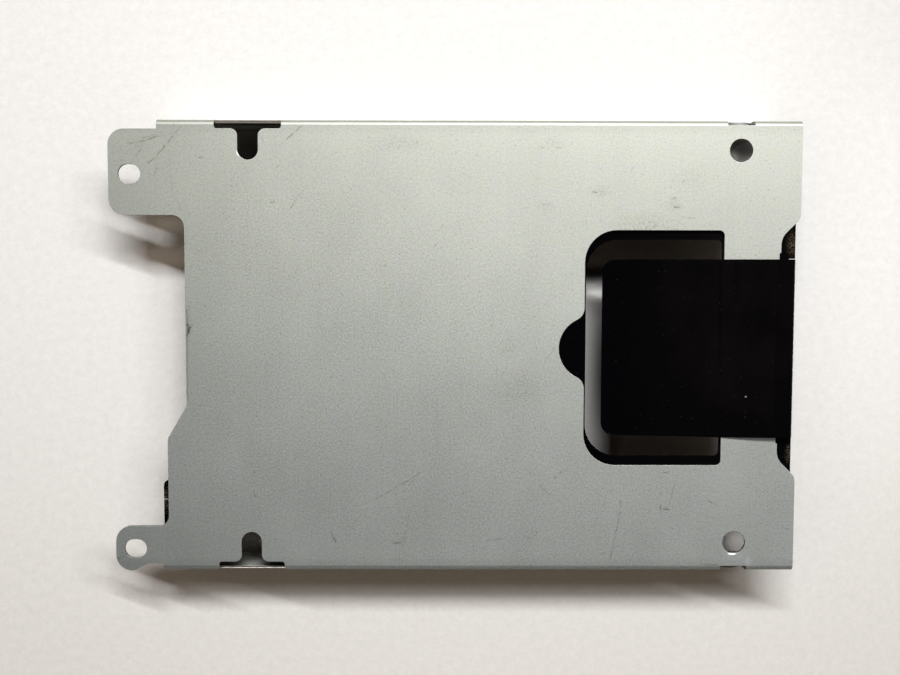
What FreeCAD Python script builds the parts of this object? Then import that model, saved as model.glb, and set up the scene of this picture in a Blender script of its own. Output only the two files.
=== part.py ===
import FreeCAD, Part
import math
import os

# Tray for one 2.5 inch drive: a stamped and folded sheet-steel bracket, outer face up, on its side flanges,
# with a black insulating film glued inside and the film's pull tab folded back over the right end.
# Millimetres. +X runs along the drive towards the pull tab, +Z is up.
# The origin is under the middle of the footprint.

# Drive that the tray holds
drive_width = 69.85
drive_length = 100.2
drive_side_gap = 0.075       # each side, drive to flange
screw_side_setback = 4.065   # screws in the drive's flat face, from its two sides
first_row_setback = 14.1     # from the left end of the flanges
second_row_setback = 9.5     # from the right end of the flanges

# Sheet
sheet = 0.5
bend_inside_radius = 0.4
tray_height = 9.5            # flange edge to outer face
flange_corner_radius = 1.2
flange_end_setback = 2.95    # right end of the standing flange, from the right end of the plate
flange_end_round = 0.8       # where the standing flange runs into the lip
flange_lip = 0.4             # lip that goes on to the plate's end, below the end of the bend

# Screw openings for the drive: T-shaped cuts through the bends at the first row, round holes at the second
tee_bar_length = 10.4
tee_bar_depth = 1.45         # from the flange's outer face
tee_bar_corner = 0.4
tee_stem_width = 3.2
tee_root_radius = 1.1
tee_land = 0.3               # flange edge inside the bar, below the end of the bend
screw_hole = 3.6             # diameter

# Short reliefs through the bends, beside the round holes
relief_length = 4.2
relief_depth = 0.8           # from the flange's outer face
relief_drop = 2.2            # ends of the relief, below the end of the bend
relief_crown = 1.4           # rise of the flange edge in the middle of the relief

# Screw ears beyond the left end
ear_slot_length = 3.5
ear_slot_width = 3.0
ear_slot_reach = 4.3         # slot centre, from the left end of the flanges
ear_slot_pitch = 59.0
ear_corner_radius = 2.5
wide_ear_reach = 7.55
wide_ear_slot_side = 27.05   # slot centre, from the centre line
wide_ear_edge_gap = 1.5      # outer edge, inside the flange face
wide_ear_width = 13.3
wide_ear_root = 1.9
small_ear_reach = 7.4
small_ear_width = 7.2
small_ear_root = 1.6
small_ear_neck_gap = 1.15    # neck edge, inside the flange face
small_ear_neck_length = 2.5
small_ear_slant = 2.1        # run of the slanted edge from the neck to the ear's tip
small_ear_neck_round = 0.8
small_ear_tip_round = 0.3

# Left edge of the plate between the ears
deep_edge_setback = 4.1      # from the left end of the flanges
shallow_edge_setback = 1.03
edge_step_start = 9.1        # slope of the step, from the centre line
edge_step_end = 14.4
edge_step_round = 1.6

# Window under the pull tab
window_length = 21.75
window_width = 37.0
window_from_right = 11.85
window_left_corner = 5.0
window_right_corner = 0.8
finger_radius = 5.0
finger_depth = 4.0
finger_root = 2.05

# Notch in the right end, where the film comes out
notch_depth = 2.95
notch_floor_width = 34.8
notch_mouth_round = 1.8
notch_floor_round = 2.8
tab_recess_depth = 0.25
tab_recess_width = 30.0
tab_recess_round = 0.1

# Insulating film
film = 0.15
film_side_gap = 2.0          # film edge, inside the flange's inner face
film_corner = 1.5
film_right_setback = 0.6     # inside the right end of the plate
film_left_setback = 1.0      # inside the deep left edge of the plate
film_window_side_lip = 1.45  # film that shows inside the plate's window, at its two sides
film_window_end_lip = 0.25   # the same at its two ends
film_window_left_corner = 5.0
film_window_right_corner = 0.8
film_screw_hole = 3.9        # diameter, behind each round hole
film_notch_gap = 0.5         # round the stem of each T-shaped cut
tongue_overhang = 0.85       # past the shallow left edge of the plate
tongue_start = 21.0          # from the centre line
tongue_corner = 0.9

# Pull tab, folded back over the outer face
tab_width = 28.0
tab_length = 29.9            # crease to free end
tab_corner = 2.0
tab_fold_setback = 0.2       # crease, inside the right end of the film
tab_lift = 0.7               # spring of the fold above the outer face
tab_touch_gap = 0.02         # where the tab bears on the window's edge
tab_slit = 0.12              # cut beside the tab at its root
perforation_pitch = 2.2
perforation_radius = 0.5
perforation_bite = 0.15      # depth of a perforation in the crease

# Places worked out from the sizes
tray_width = drive_width + 2 * drive_side_gap + 2 * sheet
half_width = tray_width / 2
bend_outside_radius = bend_inside_radius + sheet
bend_line = half_width - bend_outside_radius
inner_face = tray_height - sheet
film_face = inner_face - film
bend_end = tray_height - bend_outside_radius
left_reach = max(wide_ear_reach, small_ear_reach)
flange_left = left_reach - (drive_length + left_reach) / 2
flange_right = flange_left + drive_length
first_row = flange_left + first_row_setback
second_row = flange_right - second_row_setback
row_side = drive_width / 2 - screw_side_setback
window_right = flange_right - window_from_right
window_left = window_right - window_length
notch_floor = flange_right - notch_depth
deep_edge = flange_left + deep_edge_setback
shallow_edge = flange_left + shallow_edge_setback
film_right = flange_right - film_right_setback
crease = film_right - tab_fold_setback
through = 1.0                # how far cutters run past the sheet


def vector(x, y, z=0.0):
    return FreeCAD.Vector(x, y, z)


def rounded_face(corners, height):
    """Flat face through (x, y, radius) corners, each corner rounded by a tangent arc."""
    spans = []
    count = len(corners)
    for index, (x, y, radius) in enumerate(corners):
        corner = vector(x, y, height)
        before = vector(*corners[index - 1][:2], height) - corner
        after = vector(*corners[(index + 1) % count][:2], height) - corner
        if radius == 0:
            spans.append((corner, None, corner))
            continue
        before.normalize()
        after.normalize()
        half_angle = before.getAngle(after) / 2
        setback = radius / math.tan(half_angle)
        middle = before + after
        middle.normalize()
        depth = radius / math.sin(half_angle) - radius
        spans.append((corner + before * setback, corner + middle * depth, corner + after * setback))
    edges = []
    for index, (start, middle, end) in enumerate(spans):
        previous = spans[index - 1][2]
        if previous.distanceToPoint(start) > 1e-6:
            edges.append(Part.LineSegment(previous, start).toShape())
        if middle is not None:
            edges.append(Part.Arc(start, middle, end).toShape())
    return Part.Face(Part.Wire(edges))


def prism(corners, low, high):
    return rounded_face(corners, low).extrude(vector(0, 0, high - low))


def upright_hole(x, y, diameter, low, high):
    return Part.makeCylinder(diameter / 2, high - low, vector(x, y, low))


def obround(x, y, length, width, low, high):
    """Slot along X."""
    ends = [(-1, -1), (1, -1), (1, 1), (-1, 1)]
    corners = [(x + a * length / 2, y + b * width / 2, width / 2) for a, b in ends]
    return prism(corners, low, high)


def mirrored(shape):
    return shape.mirror(vector(0, 0, 0), vector(0, 1, 0))


def plate():
    """Flat part of the sheet with its two ears, the stepped left edge and the notched right end."""
    wide_left = flange_left - wide_ear_reach
    wide_top = half_width - wide_ear_edge_gap
    small_left = flange_left - small_ear_reach
    small_top = small_ear_width - half_width
    neck_side = small_ear_neck_gap - half_width
    neck_left = flange_left - small_ear_neck_length
    floor_side = notch_floor_width / 2
    mouth_side = floor_side + notch_depth
    recess_side = tab_recess_width / 2
    recess = notch_floor - tab_recess_depth
    notch = [
        (flange_right, mouth_side, notch_mouth_round),
        (notch_floor, floor_side, notch_floor_round),
        (notch_floor, recess_side, tab_recess_round),
        (recess, recess_side, tab_recess_round),
    ]
    left_side = [
        (flange_left, -bend_line, 0),
        (flange_left, neck_side, 0),
        (neck_left, neck_side, small_ear_neck_round),
        (neck_left - small_ear_slant, -half_width, small_ear_tip_round),
        (small_left, -half_width, ear_corner_radius),
        (small_left, small_top, ear_corner_radius),
        (shallow_edge, small_top, small_ear_root),
        (shallow_edge, -edge_step_end, edge_step_round),
        (deep_edge, -edge_step_start, edge_step_round),
        (deep_edge, wide_top - wide_ear_width, wide_ear_root),
        (wide_left, wide_top - wide_ear_width, ear_corner_radius),
        (wide_left, wide_top, ear_corner_radius),
        (flange_left, wide_top, 0),
        (flange_left, bend_line, 0),
    ]
    right_side = [(flange_right, bend_line, 0)] + notch
    right_side += [(x, -y, radius) for x, y, radius in reversed(notch)]
    right_side += [(flange_right, -bend_line, 0)]
    return prism(left_side + right_side, inner_face, tray_height)


def flange():
    """Bend and flange on the +Y side, as one folded section along X."""
    inside = half_width - sheet
    centre = vector(flange_left, bend_line, bend_end)
    slant = math.sqrt(0.5)

    def place(side, height):
        return vector(flange_left, side, height)

    def arc(radius):
        start = centre + vector(0, 0, radius)
        middle = centre + vector(0, radius * slant, radius * slant)
        end = centre + vector(0, radius, 0)
        return Part.Arc(start, middle, end).toShape()

    section = [
        arc(bend_outside_radius),
        Part.LineSegment(place(half_width, bend_end), place(half_width, 0)).toShape(),
        Part.LineSegment(place(half_width, 0), place(inside, 0)).toShape(),
        Part.LineSegment(place(inside, 0), place(inside, bend_end)).toShape(),
        arc(bend_inside_radius),
        Part.LineSegment(place(bend_line, inner_face), place(bend_line, tray_height)).toShape(),
    ]
    folded = Part.Face(Part.Wire(Part.__sortEdges__(section))).extrude(vector(drive_length, 0, 0))
    folded = folded.cut(flange_end_cut())
    low_corners = [
        edge for edge in folded.Edges
        if edge.BoundBox.ZMax < 1e-6 and edge.BoundBox.XLength < 1e-6
    ]
    return folded.makeFillet(flange_corner_radius, low_corners)


def flange_end_cut():
    """Corner taken off the right end of the flange, below the lip along the bend."""
    left = flange_right - flange_end_setback
    top = bend_end - flange_lip
    near = half_width - sheet - through
    corner = Part.makeBox(
        flange_end_setback + through, sheet + 2 * through, top + through,
        vector(left, near, -through),
    )
    inner_edge = [
        edge for edge in corner.Edges
        if abs(edge.CenterOfMass.x - left) < 1e-6 and abs(edge.CenterOfMass.z - top) < 1e-6
    ]
    return corner.makeFillet(flange_end_round, inner_edge)


def tee_cut():
    """T-shaped cut at the first screw row: the bar opens the bend, the stem ends on the screw row."""
    floor = half_width - tee_bar_depth
    outside = half_width + through
    stem_end = row_side - tee_stem_width / 2
    half_bar = tee_bar_length / 2
    half_stem = tee_stem_width / 2
    corners = [
        (first_row - half_bar, outside, 0),
        (first_row - half_bar, floor, tee_bar_corner),
        (first_row - half_stem, floor, tee_root_radius),
        (first_row - half_stem, stem_end, half_stem),
        (first_row + half_stem, stem_end, half_stem),
        (first_row + half_stem, floor, tee_root_radius),
        (first_row + half_bar, floor, tee_bar_corner),
        (first_row + half_bar, outside, 0),
    ]
    return prism(corners, bend_end - tee_land, tray_height + through)


def relief_cut():
    """Short cut through the bend beside a round hole, over a crowned flange edge."""
    floor = half_width - relief_depth
    left = second_row - relief_length / 2
    right = second_row + relief_length / 2
    low = bend_end - relief_drop
    high = tray_height + through
    crown = Part.Arc(
        vector(left, floor, low),
        vector(second_row, floor, low + relief_crown),
        vector(right, floor, low),
    )
    outline = [
        crown.toShape(),
        Part.LineSegment(vector(right, floor, low), vector(right, floor, high)).toShape(),
        Part.LineSegment(vector(right, floor, high), vector(left, floor, high)).toShape(),
        Part.LineSegment(vector(left, floor, high), vector(left, floor, low)).toShape(),
    ]
    return Part.Face(Part.Wire(outline)).extrude(vector(0, relief_depth + through, 0))


def window_cut():
    """Pull window with square-ish right corners, round left corners and a finger bulge in its left edge."""
    side = window_width / 2
    opening = prism(
        [
            (window_left, -side, window_left_corner),
            (window_right, -side, window_right_corner),
            (window_right, side, window_right_corner),
            (window_left, side, window_left_corner),
        ],
        inner_face - through,
        tray_height + through,
    )
    return opening.fuse(finger_bulge()).removeSplitter()


def finger_bulge():
    """Round bulge that runs into the window's straight edge through two tangent fillets."""
    reach = finger_radius + finger_root
    drop = window_left - finger_root - (window_left - finger_depth + finger_radius)
    root_side = math.sqrt(reach ** 2 - drop ** 2)
    bulge_x = window_left - finger_depth + finger_radius
    root_x = window_left - finger_root
    share = finger_radius / reach
    join_x = bulge_x + (root_x - bulge_x) * share
    join_y = root_side * share
    turn = math.atan2(join_y - root_side, join_x - root_x) / 2
    height = inner_face - through

    def place(x, y):
        return vector(x, y, height)

    def root_arc(sign):
        middle_side = root_side + finger_root * math.sin(turn)
        middle = place(root_x + finger_root * math.cos(turn), sign * middle_side)
        return Part.Arc(place(window_left, sign * root_side), middle, place(join_x, sign * join_y)).toShape()

    tip = place(window_left - finger_depth, 0)
    round_arc = Part.Arc(place(join_x, join_y), tip, place(join_x, -join_y)).toShape()
    inside_x = window_left + through
    top = place(inside_x, root_side)
    low = place(inside_x, -root_side)
    outline = [
        root_arc(1),
        round_arc,
        root_arc(-1),
        Part.LineSegment(place(window_left, -root_side), low).toShape(),
        Part.LineSegment(low, top).toShape(),
        Part.LineSegment(top, place(window_left, root_side)).toShape(),
    ]
    face = Part.Face(Part.Wire(Part.__sortEdges__(outline)))
    return face.extrude(vector(0, 0, sheet + 2 * through))


def ear_slots():
    x = flange_left - ear_slot_reach
    sides = (wide_ear_slot_side, wide_ear_slot_side - ear_slot_pitch)
    return [
        obround(x, y, ear_slot_length, ear_slot_width, inner_face - through, tray_height + through)
        for y in sides
    ]


def drive_bracket():
    """The folded sheet: plate, two flanges and every opening."""
    side = flange()
    sheet_metal = plate().fuse([side, mirrored(side)]).removeSplitter()
    round_hole = upright_hole(second_row, row_side, screw_hole, inner_face - through, tray_height + through)
    one_side = [tee_cut(), relief_cut(), round_hole]
    cuts = one_side + [mirrored(cut) for cut in one_side]
    cuts += ear_slots()
    cuts.append(window_cut())
    return sheet_metal.cut(cuts).removeSplitter()


def film_blank():
    """Flat film under the plate, with its openings, its tongue and the gap that the folded tab leaves."""
    side = half_width - sheet - film_side_gap
    left = deep_edge + film_left_setback
    tongue_left = shallow_edge - tongue_overhang
    blank = prism(
        [
            (left, side, film_corner),
            (left, -tongue_start, tongue_corner),
            (tongue_left, -tongue_start, tongue_corner),
            (tongue_left, -side, tongue_corner),
            (film_right, -side, film_corner),
            (film_right, side, film_corner),
        ],
        film_face,
        inner_face,
    )
    window_side = window_width / 2 - film_window_side_lip
    opening_left = window_left + film_window_end_lip
    opening_right = window_right - film_window_end_lip
    opening = prism(
        [
            (opening_left, -window_side, film_window_left_corner),
            (opening_right, -window_side, film_window_right_corner),
            (opening_right, window_side, film_window_right_corner),
            (opening_left, window_side, film_window_left_corner),
        ],
        film_face - through,
        inner_face + through,
    )
    root_side = tab_width / 2 + tab_slit
    tab_root = prism(
        [
            (fold_centre(), -root_side, 0),
            (film_right + through, -root_side, 0),
            (film_right + through, root_side, 0),
            (fold_centre(), root_side, 0),
        ],
        film_face - through,
        inner_face + through,
    )
    return blank.cut([opening, tab_root] + film_screw_cuts())


def film_screw_cuts():
    """Openings for the drive's screws: notches behind the T-shaped cuts, holes behind the round holes."""
    low = film_face - through
    high = inner_face + through
    half_notch = tee_stem_width / 2 + film_notch_gap
    notch_end = row_side - half_notch
    notch = prism(
        [
            (first_row - half_notch, half_width, 0),
            (first_row - half_notch, notch_end, half_notch),
            (first_row + half_notch, notch_end, half_notch),
            (first_row + half_notch, half_width, 0),
        ],
        low,
        high,
    )
    one_side = [notch, upright_hole(second_row, row_side, film_screw_hole, low, high)]
    return one_side + [mirrored(cut) for cut in one_side]


def fold_radius():
    """Inside radius of the tab's fold: half of the sheet and the lift that it turns round."""
    return (sheet + tab_lift) / 2


def fold_centre():
    return crease - fold_radius() - film


def pull_tab():
    """Tab folded round the right end, arched down to the window's edge and straight on into the window."""
    inside = fold_radius()
    outside = inside + film
    centre_x = fold_centre()
    middle_height = inner_face + inside
    run = centre_x - window_right
    drop = tab_lift - tab_touch_gap
    arch = (run ** 2 + drop ** 2) / (2 * drop)
    arch_turn = math.asin(run / arch)
    arch_centre = tray_height + tab_lift - arch
    straight = tab_length - outside - arch * arch_turn
    edge_side = -tab_width / 2

    def place(x, height):
        return vector(x, edge_side, height)

    def arch_point(radius, share):
        turn = arch_turn * share
        return place(centre_x - radius * math.sin(turn), arch_centre + radius * math.cos(turn))

    def end_point(radius):
        along = vector(-math.cos(arch_turn), 0, -math.sin(arch_turn))
        return arch_point(radius, 1) + along * straight

    def fold_arc(radius):
        low = place(centre_x, middle_height - radius)
        high = place(centre_x, middle_height + radius)
        return Part.Arc(low, place(centre_x + radius, middle_height), high).toShape()

    def arch_arc(radius):
        return Part.Arc(arch_point(radius, 0), arch_point(radius, 0.5), arch_point(radius, 1)).toShape()

    def straight_run(radius):
        return Part.LineSegment(arch_point(radius, 1), end_point(radius)).toShape()

    root_low = place(centre_x, film_face)
    root_high = place(centre_x, inner_face)
    section = [
        fold_arc(outside),
        arch_arc(arch + film),
        straight_run(arch + film),
        Part.LineSegment(end_point(arch), end_point(arch + film)).toShape(),
        straight_run(arch),
        arch_arc(arch),
        fold_arc(inside),
        Part.LineSegment(root_low, root_high).toShape(),
    ]
    strip = Part.Face(Part.Wire(Part.__sortEdges__(section))).extrude(vector(0, tab_width, 0))
    return strip.common(tab_outline(end_point(arch + film).x)).cut(perforations())


def tab_outline(free_end):
    """Plan of the folded tab, with rounded corners at its free end."""
    side = tab_width / 2
    corners = [
        (free_end, -side, tab_corner),
        (crease + through, -side, 0),
        (crease + through, side, 0),
        (free_end, side, tab_corner),
    ]
    return prism(corners, 0, tray_height + tab_lift + film + through)


def perforations():
    """Row of small bites along the crease."""
    x = crease + perforation_radius - perforation_bite
    count = int((tab_width - 2 * perforation_radius) / perforation_pitch)
    first = -(count - 1) * perforation_pitch / 2
    return [
        upright_hole(x, first + index * perforation_pitch, 2 * perforation_radius,
                     film_face - through, tray_height + tab_lift + film + through)
        for index in range(count)
    ]


def insulator_film():
    return film_blank().fuse(pull_tab()).removeSplitter()


os.makedirs("parts", exist_ok=True)
drive_bracket().exportStep("parts/drive_bracket.step")
insulator_film().exportStep("parts/insulator_film.step")
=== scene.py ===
import bmesh
import bpy
import math
from mathutils import Matrix, Vector


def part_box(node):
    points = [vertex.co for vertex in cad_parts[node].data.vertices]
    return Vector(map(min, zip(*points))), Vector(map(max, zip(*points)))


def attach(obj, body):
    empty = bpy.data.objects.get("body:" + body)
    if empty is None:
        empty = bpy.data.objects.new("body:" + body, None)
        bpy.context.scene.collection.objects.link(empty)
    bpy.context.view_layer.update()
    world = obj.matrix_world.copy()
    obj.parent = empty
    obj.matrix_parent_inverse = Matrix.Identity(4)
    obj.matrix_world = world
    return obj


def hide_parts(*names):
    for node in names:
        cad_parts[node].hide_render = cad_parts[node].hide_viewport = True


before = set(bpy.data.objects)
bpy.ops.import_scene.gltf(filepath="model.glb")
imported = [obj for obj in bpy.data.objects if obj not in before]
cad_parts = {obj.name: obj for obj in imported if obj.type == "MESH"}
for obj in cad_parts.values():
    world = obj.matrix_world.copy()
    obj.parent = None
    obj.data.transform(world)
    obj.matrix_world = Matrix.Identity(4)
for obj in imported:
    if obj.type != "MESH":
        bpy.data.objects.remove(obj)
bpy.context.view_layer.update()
perMetre = 1000.0           # millimetres in a metre
print("frame loaded:", sorted(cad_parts))


# node helpers

def addNode(tree, kind, settings=None, inputs=None):
    node = tree.nodes.new(kind)
    for name, value in (settings or {}).items():
        setattr(node, name, value)
    for name, value in (inputs or {}).items():
        socket = node.inputs[name]
        if isinstance(value, bpy.types.NodeSocket):
            tree.links.new(value, socket)
        else:
            socket.default_value = value
    return node


def calc(tree, operation, first, second=0.0):
    return addNode(tree, "ShaderNodeMath", {"operation": operation}, {0: first, 1: second}).outputs[0]


def calcVector(tree, operation, first, second, answer="Vector"):
    other = "Scale" if operation == "SCALE" else 1
    node = addNode(tree, "ShaderNodeVectorMath", {"operation": operation}, {0: first, other: second})
    return node.outputs[answer]


def ramp(tree, value, low, high, start=0.0, end=1.0):
    return addNode(tree, "ShaderNodeMapRange", {"interpolation_type": "SMOOTHSTEP"}, {
        "Value": value, "From Min": low, "From Max": high, "To Min": start, "To Max": end,
    }).outputs["Result"]


def blendColour(tree, share, first, second):
    return addNode(tree, "ShaderNodeMix", {"data_type": "RGBA"}, {
        "Factor": share, 6: first, 7: second,
    }).outputs[2]


def blendValue(tree, share, first, second):
    return addNode(tree, "ShaderNodeMix", {"data_type": "FLOAT"}, {
        "Factor": share, 2: first, 3: second,
    }).outputs[0]


def raiseBy(tree, value, mask):
    return calc(tree, "MULTIPLY", value, calc(tree, "ADD", 1.0, mask))


def lowerBy(tree, value, mask):
    return calc(tree, "MULTIPLY", value, calc(tree, "SUBTRACT", 1.0, mask))


def plainColour(tree, colour):
    node = addNode(tree, "ShaderNodeRGB")
    node.outputs[0].default_value = colour
    return node.outputs[0]


def lengthOf(tree, vector):
    return addNode(tree, "ShaderNodeVectorMath", {"operation": "LENGTH"}, {0: vector}).outputs["Value"]


def splitPlace(tree, place):
    return addNode(tree, "ShaderNodeSeparateXYZ", inputs={0: place}).outputs


def strongest(tree, masks):
    whole = masks[0]
    for mask in masks[1:]:
        whole = calc(tree, "MAXIMUM", whole, mask)
    return whole


def newMaterial(name):
    material = bpy.data.materials.new(name)
    material.use_nodes = True
    tree = material.node_tree
    tree.nodes.clear()
    output = addNode(tree, "ShaderNodeOutputMaterial")
    return material, tree, output


def newGroup(name, inputs, output):
    tree = bpy.data.node_groups.new(name, "ShaderNodeTree")
    for socketName, kind in inputs.items():
        tree.interface.new_socket(socketName, in_out="INPUT", socket_type="NodeSocket" + kind)
    tree.interface.new_socket(output, in_out="OUTPUT", socket_type="NodeSocketFloat")
    return tree, addNode(tree, "NodeGroupInput").outputs, addNode(tree, "NodeGroupOutput").inputs


def useGroup(tree, group, inputs):
    return addNode(tree, "ShaderNodeGroup", {"node_tree": group}, inputs).outputs[0]


def placeInMillimetres(tree):
    place = addNode(tree, "ShaderNodeTexCoord").outputs["Object"]
    return calcVector(tree, "SCALE", place, perMetre)


# effects that the pieces share

effects = {
    "noiseMiddle": 0.5,              # noise runs from 0 to 1
    "grainDetail": 2.0,
    "smudgeCore": 0.1,               # share of its reach where a smudge begins to fade
    "tickCore": 0.5,
    "faceReach": 0.3,                # millimetres that a smudge reaches above and below its face
    "levelOnly": (1.0, 1.0, 0.0),    # leaves out the height
}


def makeGrainGroup():
    tree, given, out = newGroup("grain", {"Place": "Vector", "Spacing": "Vector"}, "Grain")
    place = calcVector(tree, "DIVIDE", given["Place"], given["Spacing"])
    noise = addNode(tree, "ShaderNodeTexNoise", inputs={
        "Vector": place, "Scale": 1.0, "Detail": effects["grainDetail"],
    })
    tree.links.new(calc(tree, "SUBTRACT", noise.outputs["Fac"], effects["noiseMiddle"]), out["Grain"])
    return tree


def makeScratchGroup():
    tree, given, out = newGroup("scratch", {
        "Place": "Vector", "From": "Vector", "To": "Vector", "Width": "Float",
    }, "Mask")
    run = calcVector(tree, "SUBTRACT", given["To"], given["From"])
    reach = calcVector(tree, "SUBTRACT", given["Place"], given["From"])
    along = calcVector(tree, "DOT_PRODUCT", reach, run, "Value")
    square = calcVector(tree, "DOT_PRODUCT", run, run, "Value")
    share = calc(tree, "DIVIDE", along, square)
    share = addNode(tree, "ShaderNodeClamp", inputs={"Value": share}).outputs[0]
    foot = calcVector(tree, "SCALE", run, share)
    away = calcVector(tree, "DISTANCE", reach, foot, "Value")
    tree.links.new(ramp(tree, away, 0.0, given["Width"], 1.0, 0.0), out["Mask"])
    return tree


def makeSmudgeGroup():
    tree, given, out = newGroup("smudge", {
        "Place": "Vector", "Centre": "Vector", "Reach": "Vector",
    }, "Mask")
    offset = calcVector(tree, "SUBTRACT", given["Place"], given["Centre"])
    away = lengthOf(tree, calcVector(tree, "DIVIDE", offset, given["Reach"]))
    tree.links.new(ramp(tree, away, effects["smudgeCore"], 1.0, 1.0, 0.0), out["Mask"])
    return tree


def spreadCells(tree, given):
    place = calcVector(tree, "SCALE", given["Place"], calc(tree, "DIVIDE", 1.0, given["Spacing"]))
    return place, addNode(tree, "ShaderNodeTexVoronoi", inputs={"Vector": place, "Scale": 1.0}).outputs


def makeSpeckGroup():
    tree, given, out = newGroup("specks", {
        "Place": "Vector", "Spacing": "Float", "Size": "Float", "Share": "Float",
    }, "Mask")
    cells = spreadCells(tree, given)[1]
    chance = addNode(tree, "ShaderNodeSeparateColor", inputs={0: cells["Color"]}).outputs[0]
    chosen = calc(tree, "LESS_THAN", chance, given["Share"])
    dot = ramp(tree, cells["Distance"], 0.0, given["Size"], 1.0, 0.0)
    tree.links.new(calc(tree, "MULTIPLY", dot, chosen), out["Mask"])
    return tree


def makeTickGroup():
    tree, given, out = newGroup("ticks", {
        "Place": "Vector", "Spacing": "Float", "Length": "Float", "Width": "Float",
    }, "Mask")
    place, cells = spreadCells(tree, given)
    offset = calcVector(tree, "SUBTRACT", place, cells["Position"])
    offset = calcVector(tree, "SCALE", offset, given["Spacing"])
    turn = calcVector(tree, "SUBTRACT", cells["Color"], [effects["noiseMiddle"]] * 3)
    turn = addNode(tree, "ShaderNodeVectorMath", {"operation": "NORMALIZE"}, {0: turn}).outputs["Vector"]
    along = calcVector(tree, "DOT_PRODUCT", offset, turn, "Value")
    away = calcVector(tree, "DISTANCE", offset, calcVector(tree, "SCALE", turn, along), "Value")
    reach = calc(tree, "DIVIDE", calc(tree, "ABSOLUTE", along), given["Length"])
    line = ramp(tree, away, 0.0, given["Width"], 1.0, 0.0)
    line = calc(tree, "MULTIPLY", line, ramp(tree, reach, effects["tickCore"], 1.0, 1.0, 0.0))
    tree.links.new(line, out["Mask"])
    return tree


grainGroup = makeGrainGroup()
scratchGroup = makeScratchGroup()
smudgeGroup = makeSmudgeGroup()
speckGroup = makeSpeckGroup()
tickGroup = makeTickGroup()


def grain(tree, place, spacing):
    return useGroup(tree, grainGroup, {"Place": place, "Spacing": spacing})


def speckle(tree, place, values, strength=1.0):
    return calc(tree, "MULTIPLY", useGroup(tree, speckGroup, {"Place": place, **values}), strength)


def drawScratches(tree, place, height, lines):
    masks = []
    for x, y, toX, toY, width, strength in lines:
        line = useGroup(tree, scratchGroup, {
            "Place": place, "From": (x, y, height), "To": (toX, toY, height), "Width": width,
        })
        masks.append(calc(tree, "MULTIPLY", line, strength))
    return strongest(tree, masks)


def drawSmudges(tree, place, height, spots, reachUp=effects["faceReach"]):
    masks = []
    for x, y, reachX, reachY, strength in spots:
        spot = useGroup(tree, smudgeGroup, {
            "Place": place, "Centre": (x, y, height), "Reach": (reachX, reachY, reachUp),
        })
        masks.append(calc(tree, "MULTIPLY", spot, strength))
    return strongest(tree, masks)


# shells: welded copies of the solids with softened edges

shells = {
    "weld": 1e-6,            # metres
    "flatAngle": 0.3,        # degrees: faces that meet flatter than this are joined
    "faceWeight": 100,       # large faces keep their own normals
}


def weldedCopy(nodeName, pieceName):
    flat = math.radians(shells["flatAngle"])
    shell = bmesh.new()
    shell.from_mesh(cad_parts[nodeName].data)
    bmesh.ops.remove_doubles(shell, verts=shell.verts, dist=shells["weld"])
    bmesh.ops.dissolve_limit(shell, angle_limit=flat, verts=shell.verts, edges=shell.edges)
    mesh = bpy.data.meshes.new(pieceName)
    shell.to_mesh(mesh)
    shell.free()
    piece = bpy.data.objects.new(pieceName, mesh)
    bpy.context.scene.collection.objects.link(piece)
    return piece


def softenEdges(piece, width, steps, sharpAngle):
    if width:
        bevel = piece.modifiers.new("edgeRound", "BEVEL")
        bevel.width = width / perMetre
        bevel.segments = steps
        bevel.limit_method = "ANGLE"
        bevel.angle_limit = math.radians(sharpAngle)
        bevel.use_clamp_overlap = False
        bakeModifiers(piece)
    piece.data.shade_smooth()
    piece.data.set_sharp_from_angle(angle=math.radians(sharpAngle))
    weighted = piece.modifiers.new("flatFaces", "WEIGHTED_NORMAL")
    weighted.keep_sharp = True
    weighted.weight = shells["faceWeight"]
    bakeModifiers(piece)


def bakeModifiers(piece):
    depsgraph = bpy.context.evaluated_depsgraph_get()
    mesh = bpy.data.meshes.new_from_object(piece.evaluated_get(depsgraph), depsgraph=depsgraph)
    piece.modifiers.clear()
    piece.data = mesh


def finishPiece(piece, material):
    piece.data.materials.clear()
    piece.data.materials.append(material)
    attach(piece, "root")


# galvanised sheet

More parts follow.
